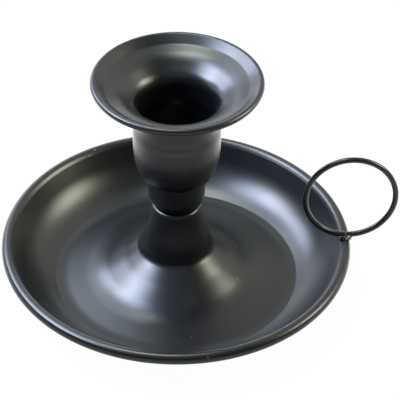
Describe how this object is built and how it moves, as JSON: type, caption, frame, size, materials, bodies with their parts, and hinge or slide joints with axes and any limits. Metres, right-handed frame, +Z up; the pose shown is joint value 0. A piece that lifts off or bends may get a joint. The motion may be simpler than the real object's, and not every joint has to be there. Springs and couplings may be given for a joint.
{
  "type": "candlestick",
  "caption": "Chamber candlestick: a round drip pan with a rolled rim and hollow neck carries a flared candle cup, with an upright wire ring handle welded on the rim.",
  "frame": {"origin": "centre of the seating floor's underside, on the stem's axis, at table level", "axes": "+Z up along the stem, +X towards the ring handle, +Y completes the right-handed frame"},
  "size_m": [0.1242, 0.11, 0.0752],
  "materials": {
    "black_satin_paint": "satin black paint on steel, fine orange peel",
    "painted_weld": "rough weld under thin black paint, bright specks where it is bare",
    "zinc_plated_steel": "bright zinc plating"
  },
  "bodies": {
    "root": {"drip_pan": "black_satin_paint", "candle_cup": "black_satin_paint", "ring_handle": "black_satin_paint", "handle_weld": "painted_weld", "fixing_screw": "zinc_plated_steel", "plain_washer": "zinc_plated_steel", "spring_washer": "zinc_plated_steel", "fixing_nut": "zinc_plated_steel"}
  },
  "joints": []
}
